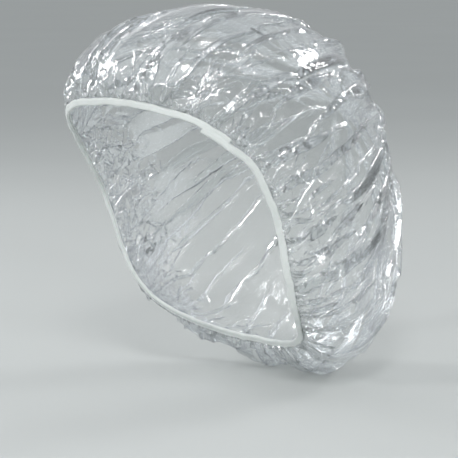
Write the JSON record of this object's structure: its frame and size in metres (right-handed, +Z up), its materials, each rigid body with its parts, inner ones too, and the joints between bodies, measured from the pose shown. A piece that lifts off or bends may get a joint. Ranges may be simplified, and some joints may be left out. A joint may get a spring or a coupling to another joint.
{
  "type": "shower cap",
  "caption": "Clear film shower cap in its worn shape: a round sheet gathered into a folded white elastic binding, lapped at one temple, that grips round the hairline.",
  "frame": {"origin": "centre of the head opening, the loop of the binding's fold", "axes": "+Z up as worn, -Y to the front over the forehead, +X to the wearer's left; the head leaves along -Z"},
  "size_m": [0.1857, 0.2481, 0.2546],
  "materials": {
    "clear_film": "thin clear polyethylene film, glossy and crinkled",
    "white_binding": "smooth white elasticated strip",
    "elastic_rubber": "natural rubber strand",
    "white_thread": "spun sewing thread"
  },
  "bodies": {
    "root": {"crown_film": "clear_film", "edge_binding": "white_binding", "elastic_strand_1": "elastic_rubber", "elastic_strand_2": "elastic_rubber", "needle_thread": "white_thread", "looper_thread": "white_thread", "lap_tack": "white_thread"}
  },
  "joints": []
}
